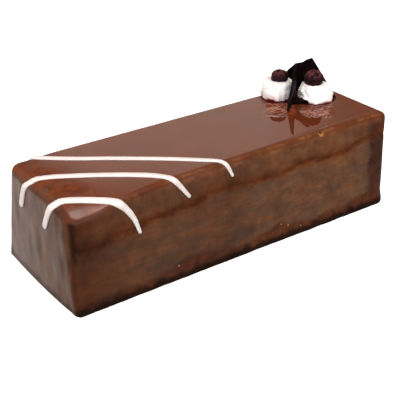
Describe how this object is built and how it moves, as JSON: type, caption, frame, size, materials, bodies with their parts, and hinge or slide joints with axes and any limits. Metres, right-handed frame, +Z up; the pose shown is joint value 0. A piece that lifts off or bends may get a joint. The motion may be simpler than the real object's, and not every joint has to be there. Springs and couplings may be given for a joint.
{
  "type": "chocolate cherry cake",
  "caption": "Long chocolate bar cake with a glossy glaze, white icing stripes, cream swirls, dark cherries and chocolate shards.",
  "frame": {"origin": "bottom centre of the bounding box, the middle of the flat underside of the cake", "axes": "+X runs along the cake to the end with the cream swirls, +Y across it, +Z up"},
  "size_m": [0.308, 0.112, 0.1134],
  "materials": {
    "chocolate_glaze": "gloss",
    "white_icing": "satin",
    "whipped_cream": "matte",
    "dark_cherry": "gloss",
    "dark_chocolate": "satin"
  },
  "bodies": {
    "root": {"glazed_cake": "chocolate_glaze", "icing_stripe_back": "white_icing", "icing_stripe_middle": "white_icing", "icing_stripe_front": "white_icing", "cream_swirl_back": "whipped_cream", "cream_swirl_front": "whipped_cream", "cherry_back": "dark_cherry", "cherry_front": "dark_cherry", "chocolate_fin": "dark_chocolate", "chocolate_shard": "dark_chocolate"}
  },
  "joints": []
}
